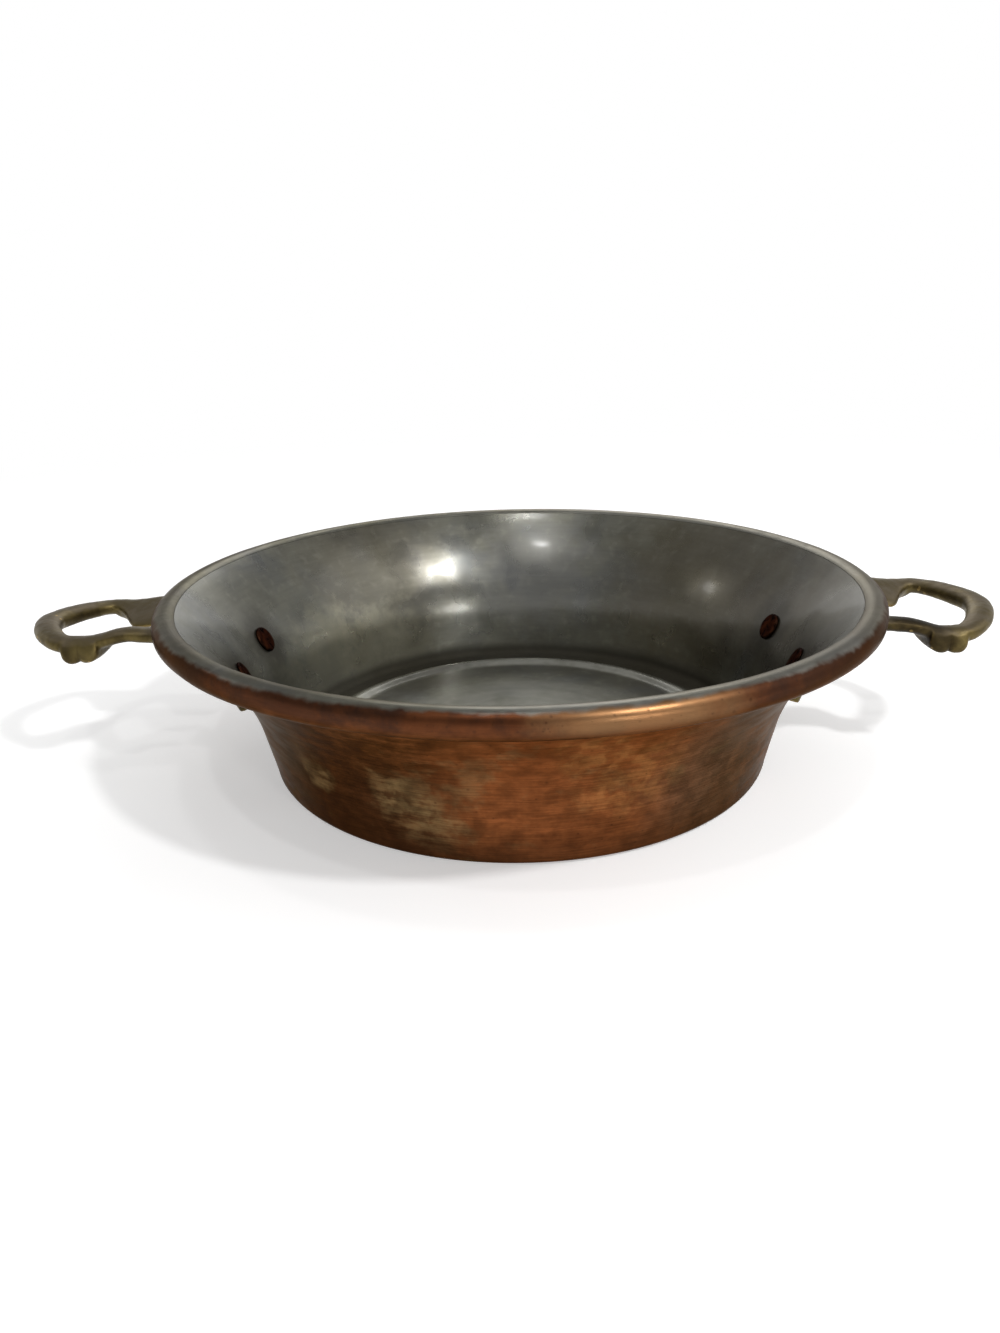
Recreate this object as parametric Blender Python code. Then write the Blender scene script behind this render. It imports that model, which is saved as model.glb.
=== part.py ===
"""Two-handled copper egg pan: a spun copper body with a tin lining, a wired rim and riveted brass handles.

Metres, +Z up. The origin is the middle of the underside, +X runs through the two handles.
"""
import math

import bmesh
import bpy
from mathutils import Matrix, Vector

# Pan, measured on its outside
RIM_RADIUS = 0.1000
PAN_HEIGHT = 0.0510
BEAD_RADIUS = 0.0035
FLOOR_RADIUS = 0.0698
CORNER_RADIUS = 0.0026
WALL_ANGLE = math.radians(12.4)
BEND_BELOW_RIM = 0.0245
BEND_RADIUS = 0.0350

# Sheet, lining and clearances
COPPER_THICKNESS = 0.0012
TIN_THICKNESS = 0.0005
GAP = 0.0003
SEAM_GAP = 0.0008
LINING_EDGE = 0.0009

# Handle casting
ARM_SPREAD = 0.0182
ROOT_SPREAD = 0.0165
ARM_BELOW_RIM = 0.0109
ARM_WIDTH = 0.0064
ARM_THICKNESS = 0.0040
DIP_START = 0.0060
FRONT_DIP = 0.0022
REAR_DIP = 0.0012
BANK_REACHED = 0.5

# The mass that hangs below each arm, and the skirt in which it runs out along the bar
KNUCKLE_REACH = 0.0183
HUMP_LENGTH = 0.0094
HUMP_SIZE = 0.0023
HUMP_LEAN = math.radians(72.0)
SKIRT_IN = 0.0065
SKIRT_OUT = 0.0130
SKIRT_SHARE = 0.4

# The two beads on its outer side
KNUCKLE_PITCH = 0.0048
KNUCKLE_RADIUS = 0.0025
KNUCKLE_SIZE = 0.0017
KNUCKLE_LEAN = math.radians(38.0)

# Each arm's root spreads inward from there to the pan
WEB_SIZE = 0.0104
WEB_LEAN = math.radians(164.0)
WEB_START = 0.0072
WEB_LENGTH = 0.0112
WEB_FADE = 0.0072

# Bow and feet
BOW_REACH = 0.0348
BOW_LENGTH = 0.0116
BOW_DIP = 0.0010
BOW_WIDTH = 0.0076
BOW_THICKNESS = 0.0055
FOOT_WIDTH = 0.0120
FOOT_THICKNESS = 0.0036
FOOT_BELOW_RIM = 0.0300
FOOT_TOP_BELOW_RIM = 0.0155

# Powers of the outlines: 2 is an ellipse, more is squarer, less is more pointed
SQUARE = 4.0
OVAL = 2.2
BOW_POWER = 1.5
HUMP_POWER = 4.0
HUMP_ROUNDNESS = 0.8

# Rivets
RIVET_SPREAD = 0.0155
RIVET_BELOW_RIM = 0.0225
SHANK_RADIUS = 0.0022
INNER_HEAD_RADIUS = 0.0042
INNER_HEAD_HEIGHT = 0.0008
OUTER_HEAD_RADIUS = 0.0040
OUTER_HEAD_HEIGHT = 0.0018
HEAD_FLAT = 0.45
HEAD_SHOULDER = 0.85
HEAD_EDGE = 0.70
TOOL_REACH = 3.0

# How each casting is set by hand: its turn about the pan's axis, the further turn of its feet, the bank
# of its loop, how far its loop is bent up, how far its arms leave the pan lower, how far its loop
# stands out, how much longer its feet are, and which side each rivet is on
HANDLES = {
    "right": {"turn": math.radians(1.2), "feet": math.radians(-3.0), "bank": math.radians(3.6),
              "lift": 0.0007, "drop": 0.0012, "out": -0.0014, "foot": 0.0009,
              "ends": {"front": -1, "rear": 1}},
    "left": {"turn": math.radians(180.2), "feet": math.radians(3.6), "bank": math.radians(2.0),
             "lift": 0.0002, "drop": -0.0005, "out": 0.0015, "foot": -0.0009,
             "ends": {"rear": -1, "front": 1}},
}

# Facets
RING_STEPS = 64
BEAD_STEPS = 12
CORNER_STEPS = 3
BEND_STEPS = 6
WIRE_STEPS = 8
CROWN_STEPS = 4
ROUND_SIDES = 16
BAR_SIDES = 12
FOOT_STEPS = 7
RISE_STEPS = 5
ARM_STEPS = 5
KNUCKLE_STEPS = 14
BOW_STEPS = 7

SHEET = COPPER_THICKNESS + GAP + TIN_THICKNESS
BEAD_CENTRE = Vector((RIM_RADIUS - BEAD_RADIUS, PAN_HEIGHT - BEAD_RADIUS))


def clear_scene():
    for old in list(bpy.data.objects):
        bpy.data.objects.remove(old, do_unlink=True)


def material(name, colour, roughness, metallic):
    made = bpy.data.materials.new(name)
    made.use_nodes = True
    shader = made.node_tree.nodes["Principled BSDF"]
    shader.inputs["Base Color"].default_value = (*colour, 1.0)
    shader.inputs["Roughness"].default_value = roughness
    shader.inputs["Metallic"].default_value = metallic
    return made


def add_object(name, mesh, finish=None):
    made = bpy.data.objects.new(name, mesh)
    bpy.context.scene.collection.objects.link(made)
    if finish is not None:
        mesh.materials.append(finish)
    return made


def arc(centre, radius, start, end, steps):
    """Points along an arc in the profile's (radius, height) plane."""
    return [centre + radius * Vector((math.cos(a), math.sin(a)))
            for a in (start + (end - start) * i / steps for i in range(steps + 1))]


def flare():
    """The upper wall's lean, its outward normal, and the middle of the bend below it.

    The cooking side of the upper wall runs from the bend straight to the bead, which it touches.
    """
    lower = Vector((math.cos(WALL_ANGLE), -math.sin(WALL_ANGLE)))
    outer_start = Vector((FLOOR_RADIUS, CORNER_RADIUS)) + CORNER_RADIUS * lower
    inner_start = outer_start - SHEET * lower
    bend_height = PAN_HEIGHT - BEND_BELOW_RIM
    bend = Vector((inner_start.x + (bend_height - inner_start.y) * math.tan(WALL_ANGLE), bend_height))
    to_bead = BEAD_CENTRE - bend
    lean = math.atan2(to_bead.x, to_bead.y) - math.asin(BEAD_RADIUS / to_bead.length)
    upper = Vector((math.cos(lean), -math.sin(lean)))
    middle = bend + (lower + upper) * (BEND_RADIUS + SHEET) / (1.0 + lower.dot(upper))
    return lean, upper, middle


FLARE_ANGLE, FLARE_NORMAL, BEND_MIDDLE = flare()
BEAD_START = math.pi - FLARE_ANGLE


def flare_point(depth, along):
    """A point on the upper wall: depth in from the outside, along down from the bead's touching point."""
    touch = BEAD_CENTRE - BEAD_RADIUS * FLARE_NORMAL
    down = Vector((-math.sin(FLARE_ANGLE), -math.cos(FLARE_ANGLE)))
    return touch + (SHEET - depth) * FLARE_NORMAL + along * down


def wall_line(depth, top):
    """The pan's profile from the axis to the upper wall, depth in from the outside."""
    points = [Vector((0.0, depth))]
    points += arc(Vector((FLOOR_RADIUS, CORNER_RADIUS)), CORNER_RADIUS - depth,
                  -math.pi / 2, -WALL_ANGLE, CORNER_STEPS)
    points += arc(BEND_MIDDLE, BEND_RADIUS + depth, math.pi - WALL_ANGLE, math.pi - FLARE_ANGLE,
                  BEND_STEPS)
    points.append(flare_point(depth, top))
    return points


def turned(name, profile, finish, closed=True):
    """A turned piece: the outline runs down its outer side and is swept once round the axis."""
    mesh = bpy.data.meshes.new(name)
    count = len(profile)
    edges = [(i, i + 1) for i in range(count - 1)]
    if closed:
        edges.append((count - 1, 0))
    mesh.from_pydata([(p.x, 0.0, p.y) for p in profile], edges, [])
    made = add_object(name, mesh, finish)
    screw = made.modifiers.new("turn", "SCREW")
    screw.steps = RING_STEPS
    screw.render_steps = RING_STEPS
    screw.use_merge_vertices = True
    screw.merge_threshold = 0.00001
    screw.use_normal_calculate = False
    return made


def cut(target, tool, folded=False):
    """Cut a tool away; a folded target may cross itself in the tight turn above a foot."""
    made = target.modifiers.new("cut " + tool.name, "BOOLEAN")
    made.operation = "DIFFERENCE"
    made.solver = "EXACT"
    made.use_self = folded
    made.object = tool


def hide_tool(tool):
    tool.hide_render = True
    tool.display_type = "WIRE"


def bead_line():
    """The rolled rim: over the wire and back under it, with a seam left open against the wall."""
    wall_distance = BEAD_RADIUS - SHEET
    sweep = math.acos((wall_distance - SEAM_GAP) / BEAD_RADIUS)
    end = BEAD_START + sweep - 2 * math.pi
    outside = arc(BEAD_CENTRE, BEAD_RADIUS, BEAD_START, end, BEAD_STEPS)
    inside = arc(BEAD_CENTRE, BEAD_RADIUS - COPPER_THICKNESS, end, BEAD_START, BEAD_STEPS - 2)
    return outside + inside


def make_pan_body(finish):
    inner = wall_line(COPPER_THICKNESS, LINING_EDGE - GAP)
    outer = wall_line(0.0, BEAD_RADIUS)
    return turned("pan_body", inner + bead_line() + outer[::-1], finish)


def make_lining(finish):
    cooking_side = wall_line(SHEET, LINING_EDGE)
    back = wall_line(SHEET - TIN_THICKNESS, LINING_EDGE)
    return turned("tin_lining", cooking_side + back[::-1], finish)


def make_wire(finish):
    radius = BEAD_RADIUS - COPPER_THICKNESS - GAP
    ring = arc(BEAD_CENTRE, radius, math.pi, -math.pi, WIRE_STEPS)
    return turned("rim_wire", ring[:-1], finish)


def pan_clearance_tool():
    """The space that the pan fills, with its clearance, to fit the handles' feet to the wall."""
    reach = BEAD_RADIUS + GAP
    meet = BEAD_START + math.acos((BEAD_RADIUS - SHEET - GAP) / reach) - 2 * math.pi
    bead = arc(BEAD_CENTRE, reach, math.pi / 2, meet, BEAD_STEPS)
    wall = wall_line(-GAP, BEAD_RADIUS)[:-1]
    axis_top = Vector((0.0, PAN_HEIGHT + GAP))
    tool = turned("pan_clearance", [axis_top] + bead + wall[::-1], None, closed=False)
    hide_tool(tool)
    return tool


def point_at_height(line, z):
    for a, b in zip(line, line[1:]):
        if a.y <= z <= b.y and b.y > a.y:
            return a.lerp(b, (z - a.y) / (b.y - a.y))
    return line[-1].copy()


def rivet_seat():
    """Where a rivet's axis meets the outside of the wall, and the wall's lean under its head."""
    line = wall_line(0.0, 0.0)[1:]
    height = PAN_HEIGHT - RIVET_BELOW_RIM
    below = point_at_height(line, height - INNER_HEAD_RADIUS)
    above = point_at_height(line, height + INNER_HEAD_RADIUS)
    lean = math.atan2(above.x - below.x, above.y - below.y)
    return point_at_height(line, height), lean


def foot_azimuth():
    """The turn from the handle's middle to a foot, so that its rivet is RIVET_SPREAD off the middle."""
    return math.asin(RIVET_SPREAD / rivet_seat()[0].x)


def foot_path(side, handle):
    """Points up the outside of the wall, from the foot's lower end to where the arm leaves it."""
    line = wall_line(-GAP, 0.0)[1:]
    low = PAN_HEIGHT - FOOT_BELOW_RIM - handle["foot"]
    high = PAN_HEIGHT - FOOT_TOP_BELOW_RIM
    points = [point_at_height(line, low + (high - low) * i / (FOOT_STEPS - 1)) for i in range(FOOT_STEPS)]
    turn = handle["feet"] + side * foot_azimuth()
    return [Vector((p.x * math.cos(turn), p.x * math.sin(turn), p.y)) for p in points]


def smooth(t):
    t = min(1.0, max(0.0, t))
    return t * t * (3 - 2 * t)


def mixed(first, last, t):
    return first + (last - first) * t


def arm_height(x, y, handle):
    """Height of the bar's middle: it dips to the knuckles, less so at the rear, and rises to the bow."""
    past_rim = x - RIM_RADIUS
    knuckles = KNUCKLE_REACH + handle["out"]
    rear = smooth((1 + y * handle["ends"]["rear"] / ARM_SPREAD) / 2)
    deepest = mixed(FRONT_DIP, REAR_DIP, rear)
    dip = deepest * smooth((past_rim - DIP_START) / (knuckles - DIP_START))
    rise = (deepest - BOW_DIP) * smooth((past_rim - knuckles) / (BOW_REACH - KNUCKLE_REACH))
    bank = y * math.tan(handle["bank"]) + handle["lift"]
    banked = smooth(past_rim / (knuckles * BANK_REACHED))
    return PAN_HEIGHT - ARM_BELOW_RIM - handle["drop"] - dip + rise + bank * banked


def arm_spread(x, handle):
    """How far an arm stands off the handle's middle: closer at the pan than at the knuckles."""
    return mixed(ROOT_SPREAD, ARM_SPREAD, smooth((x - RIM_RADIUS) / (KNUCKLE_REACH + handle["out"])))


def rise_to_arm(foot, side, handle):
    """The curve that carries the bar out from its foot and under the rim."""
    start = foot[-1]
    climb = (foot[-1] - foot[-2]).normalized()
    y = side * ROOT_SPREAD
    end = Vector((RIM_RADIUS, y, arm_height(RIM_RADIUS, y, handle)))
    corner = start + climb * ((end.z - start.z) / climb.z)
    points = []
    for i in range(1, RISE_STEPS):
        t = i / RISE_STEPS
        points.append(start * (1 - t) ** 2 + corner * 2 * t * (1 - t) + end * t ** 2)
    return points


def bow_start(handle):
    """How far out the arms end and the bow begins."""
    return RIM_RADIUS + BOW_REACH + handle["out"] - BOW_LENGTH


def arm_path(side, handle):
    """The arm, with close sections through its two knuckles."""
    middle = RIM_RADIUS + KNUCKLE_REACH + handle["out"]
    reach = KNUCKLE_PITCH / 2 + KNUCKLE_RADIUS
    first = middle - reach
    stops = [RIM_RADIUS + (first - RIM_RADIUS) * i / ARM_STEPS for i in range(ARM_STEPS)]
    stops += [first + 2 * reach * i / KNUCKLE_STEPS for i in range(KNUCKLE_STEPS + 1)]
    points = []
    for x in stops:
        if x < bow_start(handle) - GAP:
            y = side * arm_spread(x, handle)
            points.append(Vector((x, y, arm_height(x, y, handle))))
    return points


def bow_path(side, handle):
    """Half of the bow, from the end of the arm to the middle of the grip."""
    points = []
    for i in range(BOW_STEPS + 1):
        angle = math.pi / 2 * i / BOW_STEPS
        x = bow_start(handle) + BOW_LENGTH * math.sin(angle) ** (2 / BOW_POWER)
        y = side * ARM_SPREAD * abs(math.cos(angle)) ** (2 / BOW_POWER)
        points.append(Vector((x, y, arm_height(x, y, handle))))
    return points


def swells(x, handle):
    """How far the hanging mass, the two beads and the inner web stand out at x, each from 0 to 1."""
    away = x - RIM_RADIUS - KNUCKLE_REACH - handle["out"]
    block = math.sqrt(max(0.0, 1.0 - abs(2 * away / HUMP_LENGTH) ** HUMP_POWER))
    skirt = smooth(1 - away / (SKIRT_OUT if away > 0 else -SKIRT_IN))
    hump = mixed(block, skirt, SKIRT_SHARE)
    beads = math.sqrt(max(0.0, 1.0 - ((abs(away) - KNUCKLE_PITCH / 2) / KNUCKLE_RADIUS) ** 2))
    web = 1 - smooth((away + WEB_START) / WEB_LENGTH)
    web *= smooth((x - RIM_RADIUS + WEB_FADE / 2) / WEB_FADE)
    return hump, beads, web


def half_bar(side, handle):
    """Sections from one foot to the middle of the bow: place, half sizes, squareness and swells."""
    foot = foot_path(side, handle)
    rows = [(p, FOOT_WIDTH / 2, FOOT_THICKNESS, SQUARE, (0.0, 0.0, 0.0)) for p in foot]
    leave = foot[-1].x
    for p in rise_to_arm(foot, side, handle) + arm_path(side, handle):
        t = smooth((p.x - leave) / (RIM_RADIUS - leave))
        rows.append((p, mixed(FOOT_WIDTH, ARM_WIDTH, t) / 2, mixed(FOOT_THICKNESS, ARM_THICKNESS / 2, t),
                     mixed(SQUARE, OVAL, t), swells(p.x, handle)))
    bow = bow_path(side, handle)
    for p in bow:
        t = smooth((p.x - bow[0].x) / (bow[-1].x - bow[0].x))
        rows.append((p, mixed(ARM_WIDTH, BOW_WIDTH, t) / 2, mixed(ARM_THICKNESS, BOW_THICKNESS, t) / 2,
                     OVAL, swells(p.x, handle)))
    return rows


def section_ring(row, ahead):
    """One closed ring of points round the bar, square to the way it runs."""
    place, half_width, half_thickness, power, (hump, beads, web) = row
    outward = ahead.cross(Vector((0.0, 0.0, 1.0))).normalized()
    up = outward.cross(ahead).normalized()
    lobes = [(hump * HUMP_SIZE, HUMP_LEAN, HUMP_ROUNDNESS), (beads * KNUCKLE_SIZE, KNUCKLE_LEAN, 1.0),
             (web * WEB_SIZE, WEB_LEAN, 1.0)]
    ring = []
    for i in range(BAR_SIDES):
        angle = 2 * math.pi * i / BAR_SIDES
        c = math.cos(angle)
        s = math.sin(angle)
        across = half_width * math.copysign(abs(c) ** (2 / power), c)
        over = half_thickness * math.copysign(abs(s) ** (2 / power), s)
        for size, lean, roundness in lobes:
            push = size * max(0.0, math.cos(angle + lean)) ** roundness
            across += push * math.cos(lean)
            over -= push * math.sin(lean)
        ring.append(place + outward * across + up * over)
    return ring


def handle_bar_mesh(name, handle):
    """The whole bar as one closed skin, from foot to foot."""
    rows = half_bar(-1, handle) + half_bar(1, handle)[::-1][1:]
    places = [row[0] for row in rows]
    mesh = bpy.data.meshes.new(name)
    skin = bmesh.new()
    rings = []
    for i, row in enumerate(rows):
        ahead = (places[min(i + 1, len(rows) - 1)] - places[max(i - 1, 0)]).normalized()
        rings.append([skin.verts.new(p) for p in section_ring(row, ahead)])
    for near, far in zip(rings, rings[1:]):
        for j in range(BAR_SIDES):
            k = (j + 1) % BAR_SIDES
            skin.faces.new((near[j], near[k], far[k], far[j]))
    skin.faces.new(rings[0][::-1])
    skin.faces.new(rings[-1])
    bmesh.ops.recalc_face_normals(skin, faces=skin.faces)
    skin.to_mesh(mesh)
    skin.free()
    return mesh


def rivet_frame(handle, side):
    """Where a rivet goes through the wall: its axis points out of the pan, its zero is the outside."""
    at_wall, wall_lean = rivet_seat()
    turn = Matrix.Rotation(handle["turn"] + handle["feet"] + side * foot_azimuth(), 4, "Z")
    lean = Matrix.Rotation(math.pi / 2 + wall_lean, 4, "Y")
    return turn @ Matrix.Translation((at_wall.x, 0.0, at_wall.y)) @ lean


def turned_solid(name, profile, finish):
    """A small turned piece about its own +Z, from an outline of (radius, height) down its outer side."""
    mesh = bpy.data.meshes.new(name)
    mesh.from_pydata([(r, 0.0, z) for r, z in profile], [(i, i + 1) for i in range(len(profile) - 1)], [])
    made = add_object(name, mesh, finish)
    screw = made.modifiers.new("turn", "SCREW")
    screw.steps = ROUND_SIDES
    screw.render_steps = ROUND_SIDES
    screw.use_merge_vertices = True
    screw.merge_threshold = 0.00001
    return made


def make_rivet(name, finish, frame):
    """A rivet: a flat head on the tin, its shank through lining, wall and foot, and a peened head."""
    outer = FOOT_THICKNESS + 2 * GAP
    inner = -SHEET - GAP
    crown = OUTER_HEAD_HEIGHT
    profile = [(0.0, outer + crown)]
    for i in range(1, CROWN_STEPS):
        angle = math.pi / 2 * i / CROWN_STEPS
        profile.append((OUTER_HEAD_RADIUS * math.sin(angle), outer + crown * math.cos(angle)))
    profile.append((OUTER_HEAD_RADIUS, outer))
    profile.append((SHANK_RADIUS, outer))
    profile.append((SHANK_RADIUS, inner))
    profile.append((INNER_HEAD_RADIUS, inner))
    profile.append((INNER_HEAD_RADIUS * HEAD_SHOULDER, inner - INNER_HEAD_HEIGHT * HEAD_EDGE))
    profile.append((INNER_HEAD_RADIUS * HEAD_FLAT, inner - INNER_HEAD_HEIGHT))
    profile.append((0.0, inner - INNER_HEAD_HEIGHT))
    made = turned_solid(name, profile, finish)
    made.matrix_world = frame
    return made


def rivet_hole_tool(name, frame):
    """A hole for the shank with a flat seat for the peened head at its outer end."""
    hole = SHANK_RADIUS + GAP
    seat = OUTER_HEAD_RADIUS + GAP
    floor = FOOT_THICKNESS + GAP
    outer = FOOT_THICKNESS * TOOL_REACH
    inner = -SHEET * TOOL_REACH
    outline = [(0.0, outer), (seat, outer), (seat, floor), (hole, floor), (hole, inner), (0.0, inner)]
    tool = turned_solid(name, outline, None)
    tool.matrix_world = frame
    hide_tool(tool)
    return tool


def make_handle(name, handle, finish, fit_tool, hole_tools):
    made = add_object(name, handle_bar_mesh(name, handle), finish)
    made.rotation_euler = (0.0, 0.0, handle["turn"])
    cut(made, fit_tool, folded=True)
    for tool in hole_tools:
        cut(made, tool)
    made.data.shade_smooth()
    return made


def main():
    clear_scene()
    copper = material("copper", (0.62, 0.27, 0.13), 0.32, 1.0)
    tin = material("tin", (0.55, 0.56, 0.53), 0.38, 1.0)
    steel = material("steel wire", (0.45, 0.44, 0.42), 0.45, 1.0)
    brass = material("brass", (0.50, 0.42, 0.22), 0.42, 1.0)
    rivet_copper = material("rivet copper", (0.42, 0.20, 0.13), 0.40, 1.0)

    body = make_pan_body(copper)
    lining = make_lining(tin)
    make_wire(steel)
    fit_tool = pan_clearance_tool()
    for side_name, handle in HANDLES.items():
        holes = []
        for end_name, side in handle["ends"].items():
            frame = rivet_frame(handle, side)
            make_rivet("rivet_%s_%s" % (side_name, end_name), rivet_copper, frame)
            tool = rivet_hole_tool("hole_%s_%s" % (side_name, end_name), frame)
            cut(body, tool)
            cut(lining, tool)
            holes.append(tool)
        make_handle("handle_" + side_name, handle, brass, fit_tool, holes)


main()
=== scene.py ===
import math

import bmesh
import bpy
from mathutils import Matrix, Vector, noise


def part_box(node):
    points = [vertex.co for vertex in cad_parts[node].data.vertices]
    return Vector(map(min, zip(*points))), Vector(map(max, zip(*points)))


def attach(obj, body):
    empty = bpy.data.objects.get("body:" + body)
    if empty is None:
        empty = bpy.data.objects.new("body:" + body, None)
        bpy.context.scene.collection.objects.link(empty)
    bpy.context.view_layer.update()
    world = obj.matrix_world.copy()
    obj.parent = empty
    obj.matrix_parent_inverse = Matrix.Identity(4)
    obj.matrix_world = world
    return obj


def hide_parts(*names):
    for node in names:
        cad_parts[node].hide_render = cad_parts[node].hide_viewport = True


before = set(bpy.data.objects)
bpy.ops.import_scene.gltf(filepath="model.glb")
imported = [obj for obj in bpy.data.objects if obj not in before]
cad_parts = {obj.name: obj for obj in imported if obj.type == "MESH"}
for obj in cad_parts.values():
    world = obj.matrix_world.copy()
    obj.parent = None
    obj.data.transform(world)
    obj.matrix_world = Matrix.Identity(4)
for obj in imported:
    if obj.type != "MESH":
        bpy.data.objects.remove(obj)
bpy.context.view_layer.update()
_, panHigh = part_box("pan_body")

# The pan: sizes in metres, angles in degrees
pan = {
    "rimRadius": panHigh.x,
    "height": panHigh.z,
    "beadRadius": 0.0035,
    "floorRadius": 0.0698,
    "cornerRadius": 0.0026,
    "wallAngle": 12.4,
    "bendRadius": 0.0450,
    "flareRadius": 0.0900,  # the upper wall goes on curving a little, up to the bead
    "flareTurn": 16.0,
    "highestLean": 70.0,  # no wall leans out further than this
    "copper": 0.0012,
    "tin": 0.0005,
    "gap": 0.0003,
    "seam": 0.0008,
    "liningEdge": 0.0009,
    "liningTop": 0.00012,  # on its cooking side the lining runs up to the bead
    "ringRadius": 0.0608,  # a low ridge round the floor
    "ringHeight": 0.0013, "ringWidth": 0.0078,
    "tinFillet": 0.0026,  # the tin lies thicker in the corner of the floor
    "segments": 320,
    "longestStep": 0.0016,  # along the profile
    "dent": 0.00016,  # how far the hand-worked sheet wanders
    "dentSize": 0.021,
    "smallDents": (2.3, 0.5), # how much finer and how much weaker these are
    "dentFoot": 0.004,  # up to this height the dents fade in
    "floorDish": 0.00035,  # the middle of the base stands a little off the table
    "dishRadius": 0.066,
}
sharpAngle = math.radians(50)
tiny = 1e-6  # in metres: nearer than this counts as touching

# How many steps each curve is cut into
cuts = {"halvings": 50, "corner": 10, "bend": 14, "flare": 12, "ridge": 14, "beadOutside": 56,
        "beadInside": 40, "clearanceBead": 24, "clearance": 256, "hole": 40, "dome": 12,
        "headEdge": 8, "foot": 24, "rise": 16, "arm": 84, "bow": 32}

# One handle casting, with what differs between the two
handle = {
    "armSpread": 0.0182,
    "rootSpread": 0.0165,  # the arms stand closer together where they leave the pan
    "armBelowRim": 0.0109,
    "armWidth": 0.0064, "armThickness": 0.0040,
    "knuckleReach": 0.0183,
    "dipStart": 0.0060,
    "frontDip": 0.0022,
    "rearDip": 0.0012,
    "humpLength": 0.0094,  # the mass that hangs below the arm
    "humpSize": 0.0023, "humpLean": 72.0, "humpRoundness": 0.8, "humpPower": 4,
    "skirtIn": 0.0065,  # how far its foot runs along the bar, to the pan and to the bow
    "skirtOut": 0.0130,
    "skirtShare": 0.4,
    "knucklePitch": 0.0048,  # the two beads on its outer side
    "knuckleRadius": 0.0025, "knuckleSize": 0.0017, "knuckleLean": 38.0,
    "webSize": 0.0104,  # each arm's root spreads inward, from its knuckles to the pan
    "webLean": 164.0, "webStart": 0.0072, "webLength": 0.0112, "webAtRim": 0.5,
    "bowReach": 0.0348, "bowLength": 0.0116, "bowDip": 0.0010,
    "bowWidth": 0.0076, "bowThickness": 0.0055,
    "footWidth": 0.0120, "footThickness": 0.0036,
    "footBelowRim": 0.0300, "footTopBelowRim": 0.0155,
    "footPower": 4.0,  # powers of outlines: 2 is an ellipse, more is squarer
    "barPower": 2.2,
    "bowPower": 1.5,
    "sides": 36,
    "grain": 0.00030,  # voxel size of the cast skin
    "softening": (0.5, 3),  # factor and rounds
    "castLumps": 0.00010,
    "lumpScales": (260, 620),
    "fineLumps": 0.6,
    "lumpSink": 0.8,
}
sides = {
    "right": {"turn": 1.2, "feet": -3.0, "bank": 3.6, "lift": 0.0007, "drop": 0.0012,
              "out": -0.0014, "foot": 0.0009, "ends": {"front": -1, "rear": 1}},
    "left": {"turn": 180.2, "feet": 3.6, "bank": 2.0, "lift": 0.0002, "drop": -0.0005,
             "out": 0.0015, "foot": -0.0009, "ends": {"rear": -1, "front": 1}},
}

rivet = {
    "spread": 0.0155,
    "belowRim": 0.0225,
    "shank": 0.0022,
    "innerRadius": 0.0042, "innerHeight": 0.0008,
    "innerFoot": 0.97,  # shares of the inner head: its foot, and its round edge
    "innerRounding": 0.8,
    "innerRings": (0.6, 0.4, 0.2, 0.0),
    "outerRadius": 0.0040, "outerHeight": 0.0018,
    "segments": 56,
    "uneven": 0.00012,
    "outOfRound": 0.03,
    "wearScales": (420, 260),
    "seedShifts": (7.3, 3.1),
    "toolReach": 3,  # holes are cut from this many thicknesses off
}


# Profile of the pan, in the plane of radius and height

def arc(centre, radius, start, end, steps):
    turns = [start + (end - start) * i / steps for i in range(steps + 1)]
    return [centre + radius * Vector((math.cos(turn), math.sin(turn))) for turn in turns]


def refine(points, longest):
    # extra points on long straight runs, so that dents have something to bend
    fine = [points[0]]
    for a, b in zip(points, points[1:]):
        count = max(1, math.ceil((b - a).length / longest))
        fine += [a.lerp(b, i / count) for i in range(1, count + 1)]
    return fine


sheet = pan["copper"] + pan["gap"] + pan["tin"]
beadCentre = Vector((pan["rimRadius"] - pan["beadRadius"], pan["height"] - pan["beadRadius"]))
wallAngle = math.radians(pan["wallAngle"])
wallNormal = Vector((math.cos(wallAngle), -math.sin(wallAngle)))
wallFoot = Vector((pan["floorRadius"], pan["cornerRadius"])) + pan["cornerRadius"] * wallNormal


def leaning(lean):
    return Vector((math.cos(lean), -math.sin(lean)))


def flareShape():
    # lean of the wall at the bead, and the middles of the flare and of the bend below it
    turn = math.radians(pan["flareTurn"])
    bendSpan, flareSpan = pan["bendRadius"] + sheet, pan["flareRadius"] + sheet

    def shapeFor(lean):
        flareMiddle = beadCentre + (flareSpan - pan["beadRadius"]) * leaning(lean)
        return flareMiddle, flareMiddle + (bendSpan - flareSpan) * leaning(lean - turn)

    low, high = wallAngle + turn, math.radians(pan["highestLean"])
    for _ in range(cuts["halvings"]):
        lean = (low + high) / 2
        past = (shapeFor(lean)[1] - wallFoot).dot(wallNormal) + sheet - bendSpan
        low, high = (low, lean) if past < 0 else (lean, high)
    return lean, *shapeFor(lean)


flareAngle, flareMiddle, bendMiddle = flareShape()
flareStart = flareAngle - math.radians(pan["flareTurn"])


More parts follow.
